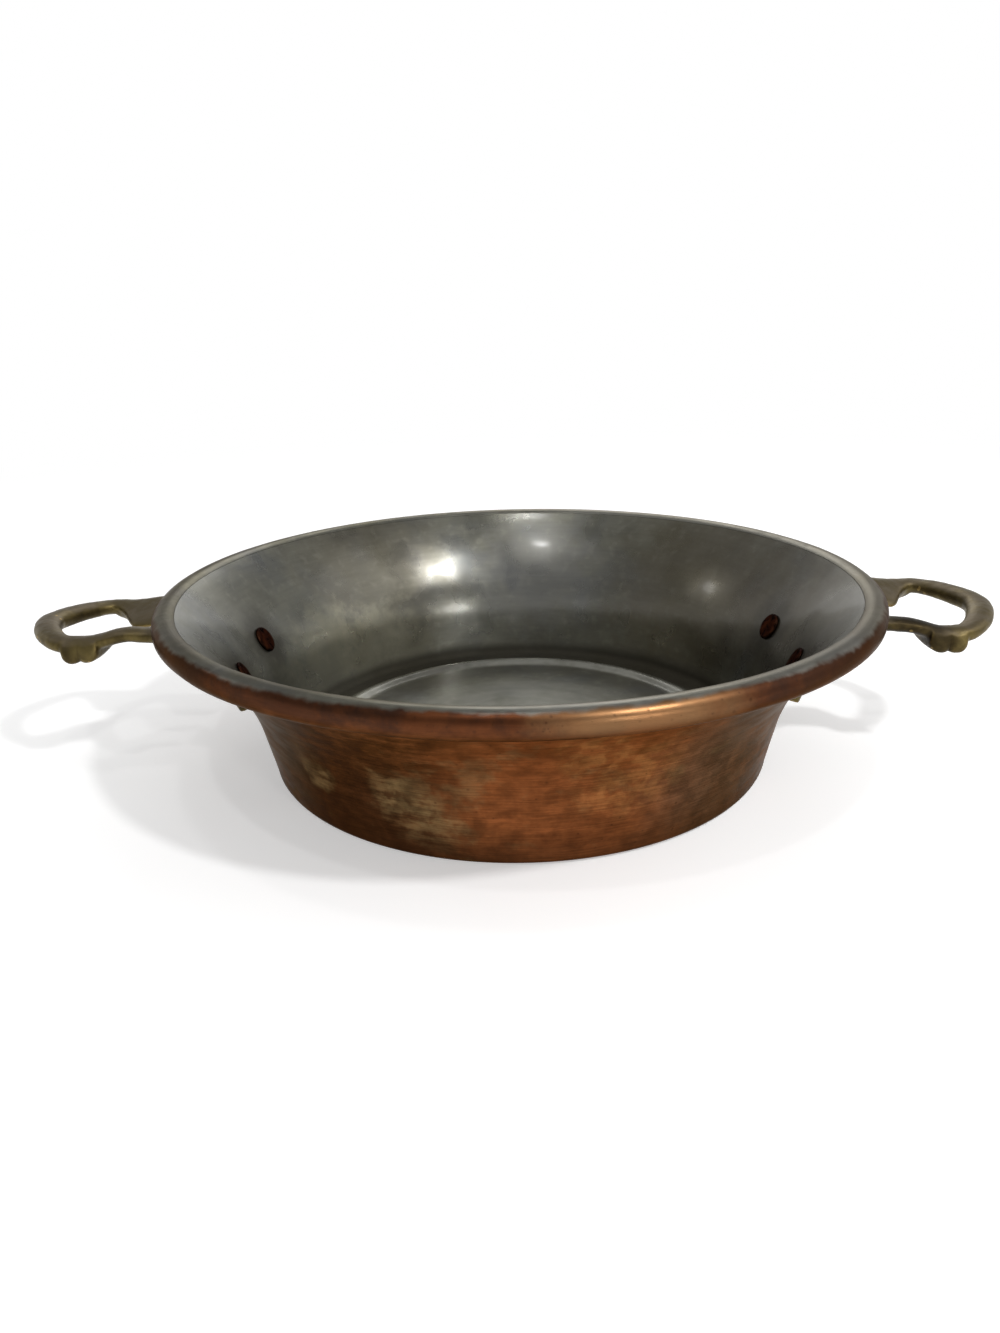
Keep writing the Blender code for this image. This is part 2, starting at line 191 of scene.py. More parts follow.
def wallLine(depth, top, fillet=None):
    # from the axis to the upper wall, depth in from the outside
    points = [Vector((0, depth))]
    radius = pan["cornerRadius"] - depth
    centre = Vector((pan["floorRadius"], pan["cornerRadius"]))
    if fillet is not None:
        radius = fillet
        rise = depth + fillet - wallFoot.y
        inward = (rise * wallNormal.y + depth + fillet) / wallNormal.x
        centre = Vector((wallFoot.x - inward, depth + fillet))
    points += arc(centre, radius, -math.pi / 2, -wallAngle, cuts["corner"])
    bendEnd = math.pi - flareStart
    points += arc(bendMiddle, pan["bendRadius"] + depth, math.pi - wallAngle, bendEnd, cuts["bend"])
    span = pan["flareRadius"] + depth
    flareEnd = math.pi - flareAngle + top / span
    points += arc(flareMiddle, span, bendEnd, flareEnd, cuts["flare"])[1:]
    return points


def ridgeLine(depth):
    low, width = pan["ringRadius"] - pan["ringWidth"] / 2, pan["ringWidth"]
    points = []
    for i in range(cuts["ridge"] + 1):
        t = i / cuts["ridge"]
        rise = pan["ringHeight"] * math.sin(math.pi * t) ** 2
        points.append(Vector((low + width * t, depth + rise)))
    return points


def beadLine():
    # the rolled rim: over the wire and back under it, open at a seam against the wall
    wallDistance = pan["beadRadius"] - sheet
    start = math.pi - flareAngle
    end = start + math.acos((wallDistance - pan["seam"]) / pan["beadRadius"]) - 2 * math.pi
    outside = arc(beadCentre, pan["beadRadius"], start, end, cuts["beadOutside"])
    inside = arc(beadCentre, pan["beadRadius"] - pan["copper"], end, start, cuts["beadInside"])
    return outside + inside


# Mesh helpers

def dentAt(place):
    # slow wander of the hand-worked sheet, nearly always inward
    finer, weaker = pan["smallDents"]
    where = place / pan["dentSize"]
    return pan["dent"] * (noise.noise(where) + weaker * noise.noise(where * finer) - 1)


def bend(place):
    radius = math.hypot(place.x, place.y)
    if radius < tiny:
        return place + Vector((0, 0, pan["floorDish"]))
    inward = dentAt(place) * min(1, place.z / pan["dentFoot"])
    dish = pan["floorDish"] * max(0, 1 - (radius / pan["dishRadius"]) ** 2)
    scale = 1 + inward / radius
    return Vector((place.x * scale, place.y * scale, place.z + dish))


def skinRings(made, rings):
    for near, far in zip(rings, rings[1:]):
        count = max(len(near), len(far))
        for i in range(count):
            j = (i + 1) % count
            if len(near) == 1:
                made.faces.new((near[0], far[i], far[j]))
            elif len(far) == 1:
                made.faces.new((near[i], near[j], far[0]))
            else:
                made.faces.new((near[i], near[j], far[j], far[i]))


def softShade(mesh):
    mesh.shade_smooth()
    mesh.set_sharp_from_angle(angle=sharpAngle)


def finishMesh(made, name):
    bmesh.ops.recalc_face_normals(made, faces=made.faces)
    mesh = bpy.data.meshes.new(name)
    made.to_mesh(mesh)
    made.free()
    softShade(mesh)
    return mesh


def turnedMesh(name, outline, segments, shape=None):
    # an outline of (radius, height) swept once round the axis
    made = bmesh.new()
    rings = []
    for p in outline:
        count = 1 if p.x < tiny else segments
        turns = [2 * math.pi * i / count for i in range(count)]
        places = [Vector((p.x * math.cos(turn), p.x * math.sin(turn), p.y)) for turn in turns]
        rings.append([made.verts.new(shape(q) if shape else q) for q in places])
    skinRings(made, rings)
    return finishMesh(made, name)


def addPiece(name, mesh, material=None):
    made = bpy.data.objects.new(name, mesh)
    bpy.context.scene.collection.objects.link(made)
    if material:
        mesh.materials.append(material)
    return made


def bake(piece):
    # keep the evaluated mesh and drop the modifiers
    depsgraph = bpy.context.evaluated_depsgraph_get()
    mesh = bpy.data.meshes.new_from_object(piece.evaluated_get(depsgraph))
    piece.modifiers.clear()
    piece.data = mesh
    softShade(mesh)


def cutAway(piece, tools):
    for tool in tools:
        made = piece.modifiers.new("cut", "BOOLEAN")
        made.operation = "DIFFERENCE"
        made.solver = "MANIFOLD"  # every mesh here is closed, and this solver is quick
        made.object = tool


def place(piece, node, slot):
    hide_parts(node)
    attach(piece, "root")


# Pieces

def pointAtHeight(line, height):
    for a, b in zip(line, line[1:]):
        if a.y <= height <= b.y and b.y > a.y:
            return a.lerp(b, (height - a.y) / (b.y - a.y))
    return line[-1].copy()


def rivetSeat():
    # where a rivet's axis meets the outside of the wall, and the wall's lean under its head
    line = wallLine(0, 0)[1:]
    height = pan["height"] - rivet["belowRim"]
    below = pointAtHeight(line, height - rivet["innerRadius"])
    above = pointAtHeight(line, height + rivet["innerRadius"])
    return pointAtHeight(line, height), math.atan2(above.x - below.x, above.y - below.y)


def footAzimuth():
    return math.asin(rivet["spread"] / rivetSeat()[0].x)


def rivetFrame(side, end):
    atWall, lean = rivetSeat()
    turn = math.radians(side["turn"] + side["feet"]) + end * footAzimuth()
    return (Matrix.Rotation(turn, 4, "Z") @ Matrix.Translation((atWall.x, 0, atWall.y))
            @ Matrix.Rotation(math.pi / 2 + lean, 4, "Y"))


def rivetMesh(name, seed):
    # flat worn head on the tin, shank, and a peened head on the brass, with soft edges
    outer = handle["footThickness"] + 2 * pan["gap"]
    inner = -sheet - pan["gap"]
    headRadius, headHeight = rivet["innerRadius"], rivet["innerHeight"]
    dome = arc(Vector((0, 0)), 1, math.pi / 2, 0, cuts["dome"])
    outline = [Vector((rivet["outerRadius"] * p.x, outer + rivet["outerHeight"] * p.y))
               for p in dome]
    outline += [Vector((rivet["shank"], outer)), Vector((rivet["shank"], inner)),
                Vector((headRadius * rivet["innerFoot"], inner))]
    rounded = headHeight * rivet["innerRounding"]
    middle = Vector((headRadius - rounded, inner - headHeight + rounded))
    outline += arc(middle, rounded, 0, -math.pi / 2, cuts["headEdge"])
    outline += [Vector((headRadius * share, inner - headHeight)) for share in rivet["innerRings"]]
    (faceScale, sideScale), (faceShift, sideShift) = rivet["wearScales"], rivet["seedShifts"]

    def worn(p):
        reach = Vector((p.x, p.y, 0))
        if reach.length < rivet["shank"] + tiny and inner - tiny <= p.z <= outer:
            return p
        face = noise.noise(p * faceScale + Vector((seed * faceShift, 0, 0)))
        edge = noise.noise(p * sideScale + Vector((0, seed * sideShift, 0)))
        lowered = Vector((0, 0, rivet["uneven"] * 0.5 * (face + 1)))
        shrunk = reach * (1 - rivet["outOfRound"] * (edge + 1))
        rise = lowered if p.z < inner else -lowered
        return Vector((shrunk.x, shrunk.y, p.z)) + rise

    return turnedMesh(name, outline, rivet["segments"], worn)


def holeTool(name, frameMatrix, seated):
    hole = rivet["shank"] + pan["gap"]
    seat = rivet["outerRadius"] + pan["gap"]
    floor = handle["footThickness"] + pan["gap"]
    outer, inner = handle["footThickness"] * rivet["toolReach"], -sheet * rivet["toolReach"]
    outline = [Vector((0, outer)), Vector((hole, outer)), Vector((hole, inner)), Vector((0, inner))]
    if seated:
        outline[1:2] = [Vector((seat, outer)), Vector((seat, floor)), Vector((hole, floor))]
    tool = addPiece(name, turnedMesh(name, outline, cuts["hole"]))
    tool.matrix_world = frameMatrix
    return tool


def smooth(t):
    t = min(1, max(0, t))
    return t * t * (3 - 2 * t)


def mixed(first, last, t):
    return first + (last - first) * t


def armHeight(x, y, side):
    past = x - pan["rimRadius"]
    knuckles = handle["knuckleReach"] + side["out"]
    rear = smooth((1 + y * side["ends"]["rear"] / handle["armSpread"]) / 2)
    deepest = mixed(handle["frontDip"], handle["rearDip"], rear)
    dip = deepest * smooth((past - handle["dipStart"]) / (knuckles - handle["dipStart"]))
    rise = (deepest - handle["bowDip"]) * smooth(
        (past - knuckles) / (handle["bowReach"] - handle["knuckleReach"]))
    bank = (y * math.tan(math.radians(side["bank"])) + side["lift"]) * smooth(2 * past / knuckles)
    return pan["height"] - handle["armBelowRim"] - side["drop"] - dip + rise + bank


def onArm(x, y, side):
    return Vector((x, y, armHeight(x, y, side)))


def armSpread(x, side):
    past = (x - pan["rimRadius"]) / (handle["knuckleReach"] + side["out"])
    return mixed(handle["rootSpread"], handle["armSpread"], smooth(past))


def footPath(side, end):
    line = wallLine(-pan["gap"], 0)[1:]
    low = pan["height"] - handle["footBelowRim"] - side["foot"]
    high = pan["height"] - handle["footTopBelowRim"]
    turn = math.radians(side["feet"]) + end * footAzimuth()
    heights = [mixed(low, high, i / cuts["foot"]) for i in range(cuts["foot"] + 1)]
    points = [pointAtHeight(line, height) for height in heights]
    return [Vector((p.x * math.cos(turn), p.x * math.sin(turn), p.y)) for p in points]


def riseToArm(foot, side, end):
    start = foot[-1]
    climb = (foot[-1] - foot[-2]).normalized()
    goal = onArm(pan["rimRadius"], end * handle["rootSpread"], side)
    corner = start + climb * ((goal.z - start.z) / climb.z)
    points = []
    for i in range(1, cuts["rise"]):
        t = i / cuts["rise"]
        points.append(start * (1 - t) ** 2 + corner * 2 * t * (1 - t) + goal * t ** 2)
    return points


def bowStart(side):
    return pan["rimRadius"] + handle["bowReach"] + side["out"] - handle["bowLength"]


def armPath(side, end):
    points = []
    for i in range(cuts["arm"]):
        x = mixed(pan["rimRadius"], bowStart(side), i / cuts["arm"])
        points.append(onArm(x, end * armSpread(x, side), side))
    return points


def bowPath(side, end):
    points = []
    for i in range(cuts["bow"] + 1):
        turn = math.pi / 2 * i / cuts["bow"]
        x = bowStart(side) + handle["bowLength"] * math.sin(turn) ** (2 / handle["bowPower"])
        y = end * handle["armSpread"] * abs(math.cos(turn)) ** (2 / handle["bowPower"])
        points.append(onArm(x, y, side))
    return points


def barSwells(x, side):
    # how far the hump, the knuckles and the web stand out here, as shares of their sizes
    away = x - pan["rimRadius"] - handle["knuckleReach"] - side["out"]
    block = math.sqrt(max(0, 1 - (2 * away / handle["humpLength"]) ** handle["humpPower"]))
    skirt = smooth(1 - away / (handle["skirtOut"] if away > 0 else -handle["skirtIn"]))
    near = abs(away) - handle["knucklePitch"] / 2
    knuckle = math.sqrt(max(0, 1 - (near / handle["knuckleRadius"]) ** 2))
    grown = 1 - smooth((away + handle["webStart"]) / handle["webLength"])
    web = grown * smooth((x - pan["rimRadius"]) / handle["webStart"] + handle["webAtRim"])
    return mixed(block, skirt, handle["skirtShare"]), knuckle, web


def halfBar(side, end):
    # sections from one foot to the middle of the bow: place, half sizes, squareness and swells
    foot = footPath(side, end)
    rows = [(p, handle["footWidth"] / 2, handle["footThickness"], handle["footPower"], (0, 0, 0))
            for p in foot]
    leave = foot[-1].x
    for p in riseToArm(foot, side, end) + armPath(side, end):
        t = smooth((p.x - leave) / (pan["rimRadius"] - leave))
        rows.append((p, mixed(handle["footWidth"], handle["armWidth"], t) / 2,
                     mixed(handle["footThickness"], handle["armThickness"] / 2, t),
                     mixed(handle["footPower"], handle["barPower"], t),
                     barSwells(p.x, side)))
    bow = bowPath(side, end)
    for p in bow:
        t = smooth((p.x - bow[0].x) / (bow[-1].x - bow[0].x))
        rows.append((p, mixed(handle["armWidth"], handle["bowWidth"], t) / 2,
                     mixed(handle["armThickness"], handle["bowThickness"], t) / 2,
                     handle["barPower"], barSwells(p.x, side)))
    return rows


def barSection(row, ahead):
    middle, halfWidth, halfThickness, power, (hump, knuckle, web) = row
    outward = ahead.cross(Vector((0, 0, 1))).normalized()
    up = outward.cross(ahead).normalized()
    swells = [(hump * handle["humpSize"], handle["humpLean"], handle["humpRoundness"]),
              (knuckle * handle["knuckleSize"], handle["knuckleLean"], 1),
              (web * handle["webSize"], handle["webLean"], 1)]
    ring = []
    for i in range(handle["sides"]):
        turn = 2 * math.pi * i / handle["sides"]
        c, s = math.cos(turn), math.sin(turn)
        across = halfWidth * math.copysign(abs(c) ** (2 / power), c)
        over = halfThickness * math.copysign(abs(s) ** (2 / power), s)
        for size, degrees, roundness in swells:
            lean = math.radians(degrees)
            push = size * max(0, math.cos(turn + lean)) ** roundness
            across += push * math.cos(lean)
            over -= push * math.sin(lean)
        ring.append(middle + outward * across + up * over)
    return ring


def barMesh(name, side):
    rows = halfBar(side, -1) + halfBar(side, 1)[::-1][1:]
    middles = [row[0] for row in rows]
    made = bmesh.new()
    rings = []
    for i, row in enumerate(rows):
        ahead = (middles[min(i + 1, len(rows) - 1)] - middles[max(i - 1, 0)]).normalized()
        rings.append([made.verts.new(p) for p in barSection(row, ahead)])
    skinRings(made, rings)
    made.faces.new(rings[0])
    made.faces.new(rings[-1])
    return finishMesh(made, name)


def clearanceTool():
    # the space that the pan fills, with its clearance, to fit the feet to the wall
    reach = pan["beadRadius"] + pan["gap"]
    meet = math.acos((pan["beadRadius"] - sheet - pan["gap"]) / reach) - math.pi - flareAngle
    outline = wallLine(-pan["gap"], pan["beadRadius"])[:-1]
    outline += arc(beadCentre, reach, meet, math.pi / 2, cuts["clearanceBead"])
    outline.append(Vector((0, pan["height"] + pan["gap"])))
    return addPiece("clearance", turnedMesh("clearance", outline, cuts["clearance"]))


def castSkin(piece, seed):
    # one even skin over the cut bar, with the soft edges and slight lumps of a casting
    remesh = piece.modifiers.new("skin", "REMESH")
    remesh.mode = "VOXEL"
    remesh.voxel_size = handle["grain"]
    soften = piece.modifiers.new("soften", "SMOOTH")
    soften.factor, soften.iterations = handle["softening"]
    bake(piece)
    skin = [(vertex.co.copy(), vertex.normal.copy()) for vertex in piece.data.vertices]
    coarse, fine = handle["lumpScales"]
    for vertex, (p, outward) in zip(piece.data.vertices, skin):
        lump = noise.noise(p * coarse + Vector((seed, 0, 0)))
        lump += handle["fineLumps"] * noise.noise(p * fine + Vector((0, seed, 0)))
        vertex.co = p + outward * handle["castLumps"] * (lump - handle["lumpSink"])


# Shader helpers. A node joins the tree of the sockets that feed it.

socketType = bpy.types.NodeSocket


def screen(r, g, b):
    # a colour as a screen shows it, 0 to 255, in the renderer's own scale
    def linear(c):
        c /= 255
        return c / 12.92 if c <= 0.04045 else ((c + 0.055) / 1.055) ** 2.4
    return (linear(r), linear(g), linear(b), 1)


def fill(node, inputs):
    # a socket is linked, and anything else is set as a constant
    for key, value in inputs.items():
        if isinstance(value, socketType):
            node.id_data.links.new(value, node.inputs[key])
        else:
            node.inputs[key].default_value = value
    return node


def addNode(kind, inputs, tree=None, **settings):
    if tree is None:
        tree = next(value for value in inputs.values() if isinstance(value, socketType)).id_data
    made = tree.nodes.new(kind)
    for key, value in settings.items():
        setattr(made, key, value)
    return fill(made, inputs)


def calc(operation, *values):
    return addNode("ShaderNodeMath", dict(enumerate(values)), operation=operation).outputs[0]


def plus(first, second):
    return calc("ADD", first, second)


def minus(first, second):
    return calc("SUBTRACT", first, second)


def times(first, second):
    return calc("MULTIPLY", first, second)


def flipped(mask):
    return minus(1.0, mask)


def vectorCalc(operation, *values, output=0):
    made = addNode("ShaderNodeVectorMath", dict(enumerate(values)), operation=operation)
    return made.outputs[output]


def moved(vector, x, y, z):
    return vectorCalc("ADD", vector, (x, y, z))


def scaled(vector, factor):
    made = addNode("ShaderNodeVectorMath", {0: vector, "Scale": factor}, operation="SCALE")
    return made.outputs[0]


def separated(vector):
    return addNode("ShaderNodeSeparateXYZ", {0: vector}).outputs


def combined(inputs):
    return addNode("ShaderNodeCombineXYZ", inputs).outputs[0]


def flattened(vector):
    x, y, _ = separated(vector)
    return combined({0: x, 1: y})


def ranged(value, fromLow, fromHigh, toLow=0.0, toHigh=1.0):
    made = addNode("ShaderNodeMapRange",
                   {"Value": value, "From Min": fromLow, "From Max": fromHigh,
                    "To Min": toLow, "To Max": toHigh}, interpolation_type="SMOOTHSTEP")
    return made.outputs["Result"]


def blend(amount, first, second):
    # a colour is a socket, or three numbers for screen()
    first, second = (c if isinstance(c, socketType) else screen(*c) for c in (first, second))
    return addNode("ShaderNodeMix", {0: amount, 6: first, 7: second}, data_type="RGBA").outputs[2]


def paint(colour, look, *layers):
    for shade, mask, amount in layers:
        colour = blend(times(mask, amount), colour, look[shade])
    return colour


def cloud(vector, scale, detail=4.0, roughness=0.55, distortion=0.0):
    made = addNode("ShaderNodeTexNoise",
                   {"Vector": vector, "Scale": scale, "Detail": detail,
                    "Roughness": roughness, "Distortion": distortion})
    return made.outputs["Fac"]


def newGroup(name, inputs, outputs):
    # all sockets are plain values, but for the place and the colour
    kinds = {"Vector": "NodeSocketVector", "Color": "NodeSocketColor"}
    group = bpy.data.node_groups.new(name, "ShaderNodeTree")
    for way, labels in (("INPUT", inputs), ("OUTPUT", outputs)):
        for label in labels:
            kind = kinds.get(label, "NodeSocketFloat")
            group.interface.new_socket(label, in_out=way, socket_type=kind)
    return group, group.nodes.new("NodeGroupInput").outputs, group.nodes.new("NodeGroupOutput")


def useGroup(name, *values):
    return addNode("ShaderNodeGroup", dict(enumerate(values)), node_tree=groups[name]).outputs


# Effects shared by the finishes. In each look, a shade is three numbers for screen(), a
# cloud is scale, detail, roughness and distortion, lines are along, across and wander, specks
# are scale, size and cover, and a range is from low, from high, to low and to high.

def turningLinesGroup():
    # fine lines left round the pan by turning and polishing, finer up the wall than along it
    look = {
        "wander": (60.0, 2.0), "drift": 0.004,
        "outward": 0.7,  # on flat parts the lines follow each other outward instead of up
        "lines": (1.0, 3.0, 0.6), "broadShare": 0.16,
    }
    group, ins, outs = newGroup("turning lines", ("Vector", "Along", "Across", "Wander"),
                                ("Fine", "Broad", "Radius"))
    flat = flattened(ins["Vector"])
    radius = vectorCalc("LENGTH", flat, output=1)
    spoke = scaled(vectorCalc("NORMALIZE", flat), ins["Along"])
    drift = times(cloud(ins["Vector"], *look["wander"]), times(ins["Wander"], look["drift"]))
    level = plus(plus(separated(ins["Vector"])[2], drift), times(radius, look["outward"]))
    high = times(level, ins["Across"])
    found = {"Radius": radius}
    for label, lift in (("Fine", high), ("Broad", times(high, look["broadShare"]))):
        found[label] = cloud(vectorCalc("ADD", spoke, combined({2: lift})), *look["lines"])
    fill(outs, found)
    return group


def patchesGroup():
    # soft-edged patches of tarnish, broken up by a finer mottle
    look = {"large": (3.0, 0.5, 0.4), "fine": (3.0, 0.6), "fineScale": 5.0}
    group, ins, outs = newGroup("tarnish patches",
                                ("Vector", "Scale", "Cover", "Softness", "Mottle"), ("Mask",))
    large = cloud(ins["Vector"], ins["Scale"], *look["large"])
    fine = cloud(ins["Vector"], times(ins["Scale"], look["fineScale"]), *look["fine"])
    level = plus(large, times(minus(fine, 0.5), ins["Mottle"]))
    edge = flipped(ins["Cover"])
    low, high = minus(edge, ins["Softness"]), plus(edge, ins["Softness"])
    fill(outs, {"Mask": ranged(level, low, high)})
    return group


def specksGroup():
    # sparse dark pits, each a small spot of its own size
    group, ins, outs = newGroup("pitted specks", ("Vector", "Scale", "Size", "Cover"), ("Mask",))
    cellInputs = {"Vector": ins["Vector"], "Scale": ins["Scale"]}
    cells = addNode("ShaderNodeTexVoronoi", cellInputs).outputs
    pick = addNode("ShaderNodeSeparateColor", {0: cells["Color"]}).outputs
    spot = flipped(ranged(cells["Distance"], 0.0, times(ins["Size"], pick[0])))
    fill(outs, {"Mask": times(spot, calc("LESS_THAN", pick[1], ins["Cover"]))})
    return group


def speckLayer(vector, shade, look):
    return shade, useGroup("specks", vector, *look["specks"])["Mask"], look["speckAmount"]


def wipedTinGroup():
    # hand-wiped tin: a cloudy grey with olive and blue casts, dull and bright by turns
    look = {
        "mid": (112, 111, 100), "olive": (98, 96, 80), "blue": (106, 107, 104),
        "pale": (148, 146, 134), "dark": (66, 64, 56),
        "casts": (24.0, 3.0, 0.5, 0.3), "castRange": (0.3, 0.68),
        "blots": (75.0, 3.0, 0.5, 0.3), "blotRange": (0.32, 0.74),
        "small": (300.0, 2.0, 0.5), "smallRange": (0.5, 0.8, 0.0, 0.3),
        "stains": (70.0, 0.40, 0.18, 0.15), "stainAndShadeAmount": 0.30,
        "specks": (200.0, 0.24, 0.10), "speckAmount": 0.35,
        "lineRange": (0.3, 0.7, 0.93, 1.06),
        "roughness": (0.3, 0.7, 0.25, 0.35),
        "relief": (60.0, 1.0, 0.4),
    }
    group, ins, outs = newGroup("wiped tin", ("Vector", "Fine"), ("Color", "Roughness", "Height"))
    vector = ins["Vector"]
    casts = cloud(vector, *look["casts"])
    blots = cloud(moved(vector, 3, 1, 2), *look["blots"])
    small = cloud(moved(vector, 5, 7, 1), *look["small"])
    colour = blend(ranged(casts, *look["castRange"]), look["olive"], look["blue"])
    colour = blend(ranged(blots, *look["blotRange"]), colour, look["mid"])
    colour = blend(ranged(small, *look["smallRange"]), colour, look["pale"])
    stains = useGroup("patches", moved(vector, 1, 9, 4), *look["stains"])["Mask"]
    colour = paint(colour, look, ("dark", stains, look["stainAndShadeAmount"]))
    colour = scaled(colour, ranged(ins["Fine"], *look["lineRange"]))
    colour = paint(colour, look, speckLayer(vector, "dark", look))
    fill(outs, {"Color": colour, "Roughness": ranged(blots, *look["roughness"]),
                "Height": cloud(moved(vector, 8, 3, 5), *look["relief"])})
    return group


groups = {"lines": turningLinesGroup(), "patches": patchesGroup(), "specks": specksGroup()}
groups["tin"] = wipedTinGroup()
print("effects built")


# Finishes

def newMaterial(name):
    made = bpy.data.materials.new(name)
    made.use_nodes = True
    tree = made.node_tree
    return made, tree.nodes["Principled BSDF"], sourceNode(tree, "TexCoord")["Object"]


def sourceNode(tree, kind):
    return addNode("ShaderNode" + kind, {}, tree).outputs


def finish(shader, look, colour, roughness, height, others=None):
    bump = addNode("ShaderNodeBump", {"Height": height, "Distance": look["bump"], "Strength": 1.0})
    fill(shader, {"Base Color": colour, "Roughness": roughness, "Metallic": look["metal"],
                  "Normal": bump.outputs[0], **(others or {})})


def reliefOf(fine, broad, look):
    fineShare, broadShare = look["relief"]
    return plus(times(fine, fineShare), times(broad, broadShare))


def shifted(distance, wander, ragged):
    return plus(distance, times(minus(wander, 0.5), ragged))


# Spots: the clouds that wander their edges, how ragged blots are, and the full core's share
spot = {"wander": (140.0, 4.0, 0.65), "ragged": 0.014, "core": 0.35}


def spotMask(vector, centre, size, ragged):
    # a ragged spot round one place on the pan
    away = vectorCalc("DISTANCE", vector, centre, output=1)
    away = shifted(away, cloud(vector, *spot["wander"]), ragged)
    return flipped(ranged(away, size * spot["core"], size))


def around(azimuth, radius, height):
    # azimuth from +X in degrees
    turn = math.radians(azimuth)
    return (radius * math.cos(turn), radius * math.sin(turn), height)


def wallSpot(vector, azimuth, height, size, ragged):
    radius = pointAtHeight(wallLine(0, 0)[1:], height).x
    return spotMask(vector, around(azimuth, radius, height), size, ragged)


def zoneLayers(vector, look):
    return [(shade, wallSpot(vector, azimuth, height, size, look["ragged"]), amount)
            for azimuth, height, size, amount, shade in look["zones"]]


def blotLayers(vector, shade, blots, amount):
    return [(shade, wallSpot(vector, azimuth, height, size, spot["ragged"]), amount)
            for azimuth, height, size in blots]


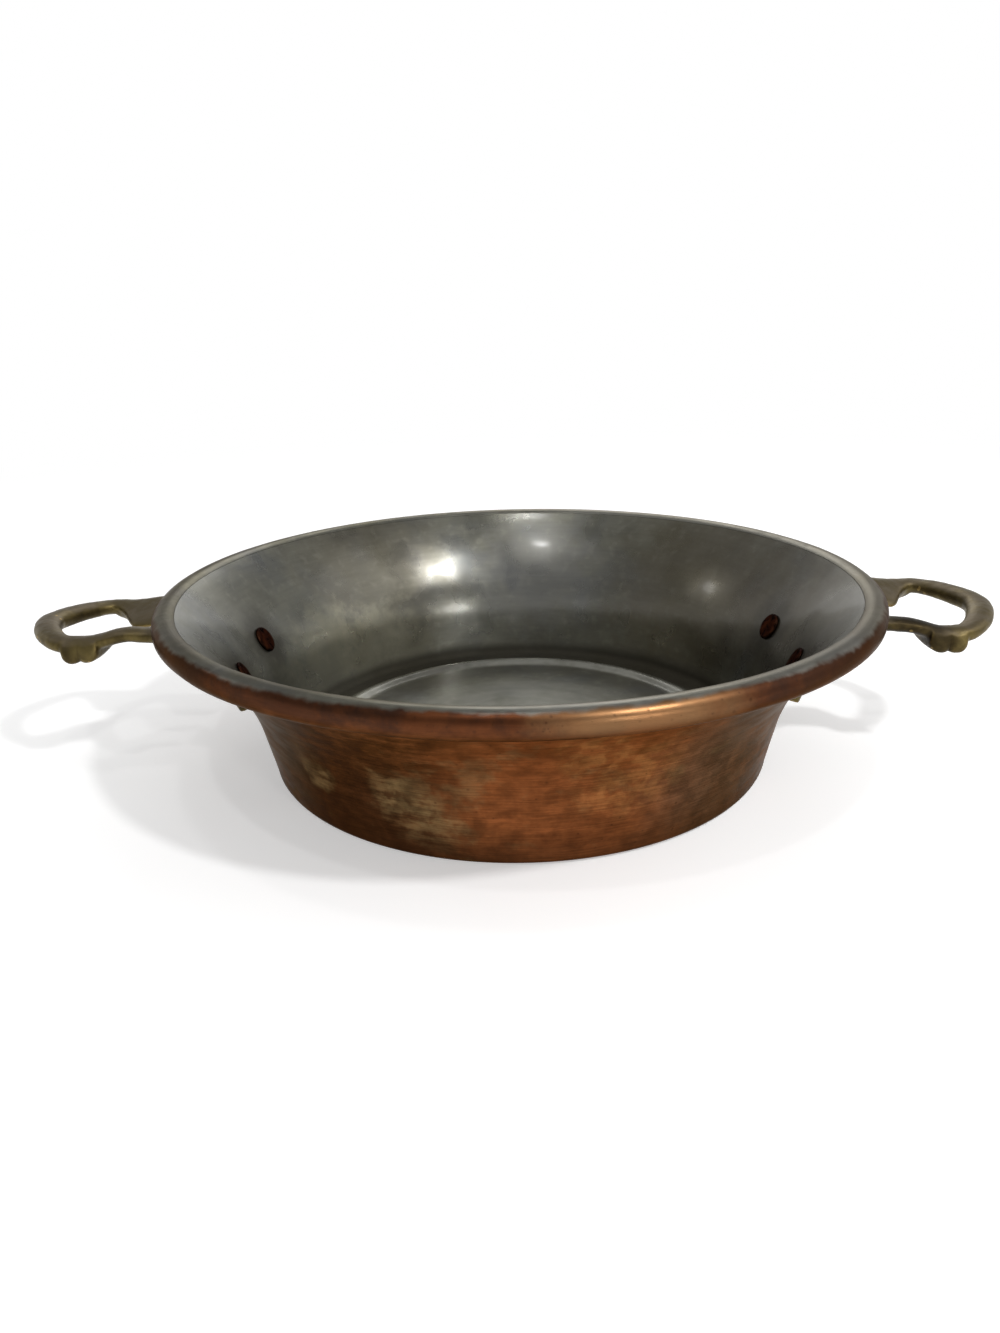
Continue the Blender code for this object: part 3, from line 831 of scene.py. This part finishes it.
def copperMaterial():
    look = {
        "orange": (116, 71, 40), "brown": (82, 50, 27), "red": (140, 79, 42),
        "deep": (54, 31, 16), "patina": (132, 110, 74), "grey": (92, 76, 60),
        "rim": (96, 54, 34), "goldWearAndHighlight": (140, 104, 70), "tan": (156, 108, 62),
        "dusk": (56, 38, 30), "mauve": (72, 59, 54), "rimTin": (150, 148, 142),
        "lines": (7.0, 2300.0, 0.4), "lineRange": (0.36, 0.64, 0.82, 1.13),
        "smears": (11.0, 950.0, 1.5), "smearRange": (0.34, 0.64, 0.74, 1.22),
        "clouds": (34.0, 5.0, 0.6, 0.4), "cloudRange": (0.38, 0.58, 0.6, 0.0),
        "mottle": (240.0, 4.0, 0.6, 0.3), "mottleShare": 0.45, "orangeRange": (0.41, 0.60),
        "patches": (26.0, 0.33, 0.10, 0.9), "patchAmount": 0.3,
        "zones": (  # on the wall: azimuth, height, size, amount, shade
            (280, 0.024, 0.046, 0.5, "red"), (232, 0.018, 0.040, 0.55, "deep"),
            (312, 0.020, 0.036, 0.5, "grey"), (214, 0.028, 0.030, 0.5, "grey"),
            (20, 0.018, 0.045, 0.45, "deep"), (120, 0.024, 0.05, 0.35, "red"),
            (60, 0.020, 0.04, 0.4, "grey"), (170, 0.022, 0.05, 0.35, "grey")),
        "patinaBlots": (  # azimuth, height, size
            (250.4, 0.014, 0.011), (246, 0.020, 0.008), (255, 0.010, 0.009),
            (229.6, 0.0175, 0.007), (120, 0.015, 0.012), (28, 0.020, 0.010)),
        "patinaRange": (0.40, 0.60, 0.05, 0.50),
        "tanBlots": ((288, 0.024, 0.017), (281, 0.034, 0.012), (60, 0.028, 0.016)),
        "tanRange": (0.40, 0.62, 0.05, 0.42),
        "rimAmount": 0.55,
        "dulled": (70.0, 5.0, 0.65), "dullRange": (0.36, 0.60, 0.85, 0.05),
        "rimZones": (  # azimuth, size, amount, shade
            # the gold zone in front is a painted highlight
            (284, 0.028, 0.7, "goldWearAndHighlight"), (318, 0.042, 0.8, "dusk"), (350, 0.050, 0.85, "mauve"),
            (212, 0.040, 0.75, "dusk"), (180, 0.060, 0.85, "mauve"), (240, 0.018, 0.5, "dusk")),
        "ragged": 0.02,  # the edges of all these zones
        "specks": (520.0, 0.34, 0.35), "speckAmount": 0.6,
        "pits": (820.0, 0.5, 0.5), "pitAmount": 0.5,
        "bottomShadeHeight": 0.014, "bottomShadeAmount": 0.6,
        "tinLine": (0.29, 0.65),  # how far out over the bead the tin fades, in bead radii
        "tinWander": (70.0, 3.0, 0.6), "tinRagged": (420.0, 3.0), "raggedShare": 0.3,
        "wanderReach": 0.85, "wanderMean": 0.65,
        "tinWorn": (0.055, 0.100, 0.0, 0.08),  # and how much further in, by the handles
        "rightLightRange": (-0.06, 0.06, 0.1, 0.5),
        "roughness": (0.3, 0.7, 0.30, 0.42), "patchRoughness": 0.14,
        "relief": (0.10, 0.5),  # shares of the fine lines and the clouds
        "bump": 0.00025, "metal": 0.94,
        "edge": (0.50, 0.46, 0.42, 1),
    }
    made, shader, vector = newMaterial("aged copper")
    lines = useGroup("lines", vector, *look["lines"])
    clouds = cloud(moved(vector, 2, 4, 6), *look["clouds"])
    mottle = cloud(moved(vector, 6, 2, 9), *look["mottle"])
    share = look["mottleShare"]
    level = plus(times(lines["Broad"], 1 - share), times(mottle, share))
    colour = blend(ranged(level, *look["orangeRange"]), look["brown"], look["orange"])
    colour = blend(ranged(clouds, *look["cloudRange"]), colour, look["deep"])
    patches = useGroup("patches", moved(vector, 0, 3, 8), *look["patches"])["Mask"]
    patina, tan = ranged(level, *look["patinaRange"]), ranged(mottle, *look["tanRange"])
    colour = paint(colour, look, *zoneLayers(vector, look),
                   ("patina", patches, look["patchAmount"]),
                   *blotLayers(vector, "patina", look["patinaBlots"], patina),
                   *blotLayers(vector, "tan", look["tanBlots"], tan))
    smears = useGroup("lines", moved(vector, 0, 0, 0.4), *look["smears"])["Broad"]
    scratch = ranged(lines["Fine"], *look["lineRange"])
    colour = scaled(colour, times(scratch, ranged(smears, *look["smearRange"])))

    # the rolled rim is redder and dulled in clouds, with a painted golden highlight in front
    x, _, z = separated(vector)
    onRim = ranged(z, beadCentre.y - pan["beadRadius"], beadCentre.y)
    dull = ranged(cloud(moved(vector, 9, 1, 3), *look["dulled"]), *look["dullRange"])
    rimLayers = []
    for azimuth, size, amount, shade in look["rimZones"]:
        centre = around(azimuth, pan["rimRadius"], beadCentre.y)
        zone = times(spotMask(vector, centre, size, look["ragged"]), onRim)
        rimLayers.append((shade, zone, amount))
    pits = times(useGroup("specks", vector, *look["pits"])["Mask"], look["pitAmount"])
    # painted shade: the wall grows darker towards its base
    bottomShade = flipped(ranged(z, 0.0, look["bottomShadeHeight"]))
    colour = paint(colour, look, ("rim", onRim, look["rimAmount"]), ("dusk", dull, onRim),
                   *rimLayers, speckLayer(vector, "deep", look), ("dusk", pits, onRim),
                   ("deep", bottomShade, look["bottomShadeAmount"]))

    # the tin wiped over the crest of the rim ends in a wandering line
    tin = useGroup("tin", vector, lines["Fine"])
    ragged = times(cloud(vector, *look["tinRagged"]), look["raggedShare"])
    wander = plus(cloud(vector, *look["tinWander"]), ragged)
    out = calc("DIVIDE", minus(lines["Radius"], beadCentre.x), pan["beadRadius"])
    out = plus(out, times(minus(wander, look["wanderMean"]), look["wanderReach"]))
    out = minus(out, ranged(calc("ABSOLUTE", x), *look["tinWorn"]))
    tinned = times(flipped(ranged(out, *look["tinLine"])), calc("GREATER_THAN", z, beadCentre.y))
    # painted light: the tin on the crest is painted whiter towards the right
    rimTin = blend(ranged(x, *look["rightLightRange"]), tin["Color"], look["rimTin"])
    rough = ranged(lines["Broad"], *look["roughness"])
    rough = plus(rough, times(patches, look["patchRoughness"]))
    finish(shader, look, blend(tinned, colour, rimTin), rough,
           reliefOf(lines["Fine"], clouds, look), {"Specular Tint": look["edge"]})
    return made


def tinMaterial(rivetPlaces):
    look = {
        "pale": (150, 149, 140), "shade": (46, 42, 32), "umber": (84, 76, 62),
        "cool": (120, 120, 120), "light": (150, 147, 128),
        "lines": (6.0, 520.0, 0.6),
        # tarnish patches that also hold painted reflection: darker and browner on the right,
        # lighter low on the left
        "zones": (  # on the wall: azimuth, height, size, amount, shade
            (38, 0.030, 0.050, 0.55, "umber"), (350, 0.030, 0.045, 0.5, "umber"),
            (84, 0.030, 0.030, 0.4, "cool"), (128, 0.036, 0.040, 0.40, "umber"),
            (12, 0.036, 0.034, 0.4, "umber"), (230, 0.030, 0.050, 0.35, "umber"),
            (132, 0.009, 0.024, 0.6, "light"), (152, 0.012, 0.026, 0.5, "light")),
        "ragged": 0.03,
        "wander": (45.0, 3.0), "wanderRange": (0.36, 0.60, 0.4, 1.0),
        "rings": (130.0, 2.0), "ringRange": (0.35, 0.65, 0.35, 0.75), "ringWander": 0.010,
        # where masks on the floor rise, in metres outward from its ridge
        "wornEnd": (-0.023, -0.015), "dimStart": (-0.017, -0.010), "dimEnd": (-0.006, -0.003),
        "floorEnd": (-0.006, 0.0), "corner": (0.001, 0.004),
        "ridgeHighlight": -0.0015, "ridgeHighlightWidth": (0.0010, 0.0035),
        "ridgeHighlightClouds": (90.0, 3.0), "ridgeHighlightRange": (0.3, 0.6, 0.35, 0.9),
        "cornerShadeHeights": (0.003, 0.0085), "cornerShadeAmount": 0.85,
        # a painted shade on the floor, left of the middle
        "floorShadeSpot": ((-0.036, 0.046, 0.0025), 0.024, 0.02), "stainAndShadeAmount": 0.5,
        "dimAmount": 0.4,
        "smudgeClouds": (150.0, 4.0), "smudgeRagged": 0.008,
        "smudge": (0.004, 0.014), "smudgeAmount": 0.7,  # how near the rivets' heads
        "cornerRoughness": 0.5, "floorRoughness": 0.22,
        "bump": 0.00011, "metal": 0.75,
        "coat": 0.25, "coatRoughness": 0.12,
    }
    made, shader, vector = newMaterial("wiped tin")
    lines = useGroup("lines", vector, *look["lines"])
    radius = lines["Radius"]
    tin = useGroup("tin", vector, lines["Fine"])

    def beyond(name):
        return ranged(radius, *(pan["ringRadius"] + past for past in look[name]))

    # the floor is worn pale in rings, partly a painted reflection, with a painted highlight on its
    # ridge and painted shade in its corner
    wander = cloud(vector, *look["wander"])
    turned = plus(radius, times(wander, look["ringWander"]))
    rings = cloud(combined({2: turned}), *look["rings"])
    # worn pale rings, partly a painted reflection
    worn = times(flipped(beyond("wornEnd")), ranged(rings, *look["ringRange"]))
    # pale paint along the ridge, partly wear and partly a painted highlight
    ridgeHighlight = calc("ABSOLUTE", minus(radius, pan["ringRadius"] + look["ridgeHighlight"]))
    ridgeHighlight = flipped(ranged(ridgeHighlight, *look["ridgeHighlightWidth"]))
    # painted shade low in the corner between floor and wall
    low = flipped(ranged(separated(vector)[2], *look["cornerShadeHeights"]))
    corner = times(beyond("corner"), low)
    dim = times(beyond("dimStart"), flipped(beyond("dimEnd")))

    # dark smudges round the rivets
    nearest = None
    for centre in rivetPlaces:
        away = vectorCalc("DISTANCE", vector, tuple(centre), output=1)
        nearest = away if nearest is None else calc("MINIMUM", nearest, away)
    away = shifted(nearest, cloud(vector, *look["smudgeClouds"]), look["smudgeRagged"])
    smudge = flipped(ranged(away, *look["smudge"]))

    ridgeHighlightLevel = ranged(cloud(vector, *look["ridgeHighlightClouds"]), *look["ridgeHighlightRange"])
    colour = paint(tin["Color"], look, *zoneLayers(vector, look),
                   ("pale", worn, ranged(wander, *look["wanderRange"])),
                   ("pale", ridgeHighlight, ridgeHighlightLevel),
                   ("shade", corner, look["cornerShadeAmount"]),
                   ("shade", spotMask(vector, *look["floorShadeSpot"]), look["stainAndShadeAmount"]),
                   ("shade", dim, look["dimAmount"]), ("shade", smudge, look["smudgeAmount"]))
    rough = plus(tin["Roughness"], times(corner, look["cornerRoughness"]))
    rough = plus(rough, times(flipped(beyond("floorEnd")), look["floorRoughness"]))
    finish(shader, look, colour, rough, tin["Height"],
           {"Coat Weight": times(flipped(corner), look["coat"]),
            "Coat Roughness": look["coatRoughness"]})
    return made


def brassMaterial():
    look = {
        "dull": (96, 84, 50), "olive": (66, 56, 32), "tan": (112, 101, 82),
        "dark": (38, 30, 16), "goldWearAndHighlight": (176, 150, 92),
        "clouds": (110.0, 4.0, 0.55, 0.5), "dullRange": (0.36, 0.62),
        "fine": (900.0, 4.0, 0.6),
        "paintedTopLight": (0.35, 0.9), "tanRange": (0.38, 0.6, 0.95, 0.4),
        "shadedArm": ((0.1085, -0.0180, 0.0385), 0.013, 0.006), "armShadeAmount": 0.9,  # one arm has painted shade
        "hollows": (0.46, 0.498, 0.7, 0.0),
        "knuckles": (0.505, 0.56), "goldRange": (0.3, 0.6, 0.3, 1.0), "goldAmount": 0.7,
        "specks": (700.0, 0.3, 0.25), "speckAmount": 0.4,
        "roughness": (0.3, 0.7, 0.58, 0.44),
        "relief": (0.25, 0.6),  # shares of the fine grain and the clouds
        "bump": 0.0003, "metal": 0.9,
    }
    made, shader, vector = newMaterial("dulled brass")
    clouds = cloud(vector, *look["clouds"])
    fine = cloud(moved(vector, 3, 3, 1), *look["fine"])
    geometry = sourceNode(made.node_tree, "NewGeometry")
    # painted light: faces that turn up are painted a lighter tan, and undersides stay darker
    paintedTopLight = ranged(separated(geometry["Normal"])[2], *look["paintedTopLight"])
    pointy = geometry["Pointiness"]
    colour = blend(ranged(clouds, *look["dullRange"]), look["olive"], look["dull"])
    colour = paint(colour, look, ("tan", paintedTopLight, ranged(clouds, *look["tanRange"])),
                   # painted shade on the near arm of the right handle
                   ("dark", spotMask(vector, *look["shadedArm"]), look["armShadeAmount"]))
    colour = blend(ranged(pointy, *look["hollows"]), colour, look["dark"])
    worn = times(ranged(pointy, *look["knuckles"]), ranged(clouds, *look["goldRange"]))
    colour = paint(colour, look, ("goldWearAndHighlight", worn, look["goldAmount"]),
                   speckLayer(vector, "dark", look))
    finish(shader, look, colour, ranged(clouds, *look["roughness"]), reliefOf(fine, clouds, look))
    return made


def rivetMaterial():
    look = {
        "red": (66, 38, 24), "dark": (18, 8, 5),
        "clouds": (420.0, 4.0, 0.6, 0.4), "redRange": (0.36, 0.64),
        "edgeStart": 0.78, "edgeAmount": 0.6,  # as shares of the head's radius
        "roughness": (0.3, 0.7, 0.5, 0.38),
        "bump": 0.0002, "metal": 0.92,
        "edge": (0.40, 0.28, 0.20, 1),
    }
    made, shader, vector = newMaterial("rivet copper")
    clouds = cloud(vector, *look["clouds"])
    colour = blend(ranged(clouds, *look["redRange"]), look["dark"], look["red"])
    radius = vectorCalc("LENGTH", flattened(vector), output=1)
    edge = ranged(radius, rivet["innerRadius"] * look["edgeStart"], rivet["innerRadius"])
    colour = paint(colour, look, ("dark", edge, look["edgeAmount"]))
    finish(shader, look, colour, ranged(clouds, *look["roughness"]), clouds,
           {"Specular Tint": look["edge"]})
    return made


def wireMaterial():
    look = {
        "light": (150, 148, 142), "dark": (92, 84, 74),
        "lines": (6.0, 2400.0, 0.2), "lightRange": (0.35, 0.65),
        "roughness": (0.3, 0.7, 0.34, 0.46),
        "bump": 0.0001, "metal": 1.0,
    }
    made, shader, vector = newMaterial("drawn wire")
    lines = useGroup("lines", vector, *look["lines"])
    colour = blend(ranged(lines["Broad"], *look["lightRange"]), look["dark"], look["light"])
    finish(shader, look, colour, ranged(lines["Fine"], *look["roughness"]), lines["Fine"])
    return made


# Build

frames = {}
for sideName, side in sides.items():
    for endName, end in side["ends"].items():
        frames["rivet_%s_%s" % (sideName, endName)] = (sideName, rivetFrame(side, end))

headCentre = Vector((0, 0, -sheet))
copper = copperMaterial()
tin = tinMaterial([matrix @ headCentre for _, matrix in frames.values()])
brass = brassMaterial()
rivetCopper = rivetMaterial()
print("finishes built")

plainHoles = [holeTool("hole_" + name, matrix, False) for name, (_, matrix) in frames.items()]


def buildShell(name, node, slot, outline, material):
    shell = addPiece(name, turnedMesh(name, outline, pan["segments"], bend), material)
    cutAway(shell, plainHoles)
    bake(shell)
    place(shell, node, slot)
    print(node + " built")


bodyOutline = refine(wallLine(pan["copper"], pan["liningEdge"] - pan["gap"]), pan["longestStep"])
bodyOutline += beadLine() + refine(wallLine(0, pan["beadRadius"])[::-1], pan["longestStep"])
buildShell("panCopper", "pan_body", "copper", bodyOutline, copper)

cooking = wallLine(sheet, pan["liningTop"], pan["tinFillet"])
cooking = refine([cooking[0]] + ridgeLine(sheet) + cooking[1:], pan["longestStep"])
back = refine(wallLine(sheet - pan["tin"], pan["liningEdge"]), pan["longestStep"])
buildShell("panTin", "tin_lining", "tin", cooking + back[::-1], tin)

clearance = clearanceTool()
seatedHoles = []
for sideName, side in sides.items():
    name = "handle_" + sideName
    tools = [holeTool("seat_" + key, matrix, True)
             for key, (owner, matrix) in frames.items() if owner == sideName]
    bar = addPiece("brass_" + name, barMesh("brass_" + name, side), brass)
    bar.data.transform(Matrix.Rotation(math.radians(side["turn"]), 4, "Z"))
    cutAway(bar, [clearance] + tools)
    castSkin(bar, side["turn"])
    place(bar, name, "brass")
    seatedHoles += tools
print("handles built")

for count, (name, (_, matrix)) in enumerate(frames.items()):
    made = addPiece("copper_" + name, rivetMesh("copper_" + name, count), rivetCopper)
    made.matrix_world = matrix
    place(made, name, "rivet_copper")
print("rivets built")

for tool in plainHoles + seatedHoles + [clearance]:
    bpy.data.objects.remove(tool, do_unlink=True)

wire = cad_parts["rim_wire"]
wire.data.materials.clear()
wire.data.materials.append(wireMaterial())


# Floor, light and camera

studio = {
    "floorSize": 6.0, "floorSquares": 24,
    "floorHeight": -0.00005,
    "floorColour": (0.82, 0.82, 0.82, 1),
    "floorLift": 0.38,
    "fade": (0.30, 0.75),
    "sky": (0.14, 0.46, 1.0, 0.35),  # horizon's top, ceiling's edge, and the light of each
    "aim": (0, 0, 0.03),  # where the lamps point
}
white = (1, 1, 1, 1)
lamps = {  # place, size, power
    "key": ((0.51, -0.50, 0.87), 0.085, 4.5),
    "right": ((0.92, -0.03, 0.68), 0.8, 1.7),
    "front": ((0.61, -0.97, 0.36), 0.20, 1.7),
    "top": ((-0.055, -0.165, 1.23), 0.09, 0.8),
    "high": ((-0.147, -0.49, 1.08), 0.05, 0.9),
    "left": ((-0.856, 0.267, 0.59), 0.10, 0.25),
    "back": ((0.1, 1.2, 0.9), 0.9, 4.5),
}
view = {
    "place": (0.0, -0.2607, 0.1211),
    "pitch": -20.61, "yaw": 1.19, "roll": -1.55,
    "focalPixels": 936.6, "pixelsHigh": 1333, "sensor": 36.0,
    "nearest": 0.01,
}


def clearedTree(owner):
    owner.use_nodes = True
    owner.node_tree.nodes.clear()
    return owner.node_tree


def seenBy(tree, *rays):
    path = sourceNode(tree, "LightPath")
    seen = path[rays[0]]
    for ray in rays[1:]:
        seen = calc("MAXIMUM", seen, path[ray])
    return seen


def glow(tree, strength):
    return addNode("ShaderNodeEmission", {"Color": white, "Strength": strength}, tree).outputs[0]


def mixShaders(amount, first, second):
    return addNode("ShaderNodeMixShader", {0: amount, 1: first, 2: second}).outputs[0]


def buildFloor():
    # the camera and mirrors see it lifted towards white and fading out; it keeps the shadow
    mesh = bpy.data.meshes.new("floor")
    made = bmesh.new()
    squares, size = studio["floorSquares"], studio["floorSize"] / 2
    bmesh.ops.create_grid(made, x_segments=squares, y_segments=squares, size=size)
    made.to_mesh(mesh)
    made.free()
    material = bpy.data.materials.new("pale floor")
    tree = clearedTree(material)
    lit = addNode("ShaderNodeBsdfDiffuse", {"Color": studio["floorColour"]}, tree).outputs[0]
    raised = addNode("ShaderNodeAddShader", {0: lit, 1: glow(tree, studio["floorLift"])}).outputs[0]
    away = vectorCalc("LENGTH", sourceNode(tree, "TexCoord")["Object"], output=1)
    far = ranged(away, *studio["fade"])
    seen = seenBy(tree, "Is Camera Ray", "Is Glossy Ray", "Is Transmission Ray")
    surface = mixShaders(seen, lit, mixShaders(far, raised, glow(tree, 1.0)))

    # from below, it lets the camera through to the pan's underside
    below = times(sourceNode(tree, "NewGeometry")["Backfacing"], seenBy(tree, "Is Camera Ray"))
    surface = mixShaders(below, surface, sourceNode(tree, "BsdfTransparent")[0])
    addNode("ShaderNodeOutputMaterial", {"Surface": surface})
    floor = addPiece("floor", mesh, material)
    floor.location.z = studio["floorHeight"]


def buildWorld():
    # metal sees white round the horizon and a plain grey ceiling above, the camera white all over
    world = bpy.data.worlds.new("studio")
    tree = clearedTree(world)
    up = separated(sourceNode(tree, "TexCoord")["Generated"])[2]
    level = ranged(up, *studio["sky"])
    level = calc("MAXIMUM", level, seenBy(tree, "Is Camera Ray", "Is Transmission Ray"))
    sky = addNode("ShaderNodeBackground", {"Color": white, "Strength": level}).outputs[0]
    addNode("ShaderNodeOutputWorld", {"Surface": sky})
    bpy.context.scene.world = world


def buildLamps():
    for name, (where, size, power) in lamps.items():
        light = bpy.data.lights.new(name, "AREA")
        light.shape = "DISK"
        light.size = size
        light.energy = power
        made = bpy.data.objects.new(name, light)
        made.location = where
        toPan = Vector(studio["aim"]) - made.location
        made.rotation_euler = toPan.to_track_quat("-Z", "Y").to_euler()
        bpy.context.scene.collection.objects.link(made)


def buildCamera():
    lens = bpy.data.cameras.new("camera")
    lens.sensor_width = view["sensor"]
    lens.lens = view["focalPixels"] / view["pixelsHigh"] * view["sensor"]
    lens.clip_start = view["nearest"]
    made = bpy.data.objects.new("camera", lens)
    made.matrix_world = (Matrix.Translation(view["place"])
                         @ Matrix.Rotation(math.radians(view["yaw"]), 4, "Z")
                         @ Matrix.Rotation(math.radians(90 + view["pitch"]), 4, "X")
                         @ Matrix.Rotation(math.radians(view["roll"]), 4, "Z"))
    bpy.context.scene.collection.objects.link(made)
    bpy.context.scene.camera = made


buildFloor()
buildWorld()
buildLamps()
buildCamera()
bpy.context.scene.view_settings.view_transform = "Standard"
print("studio built")
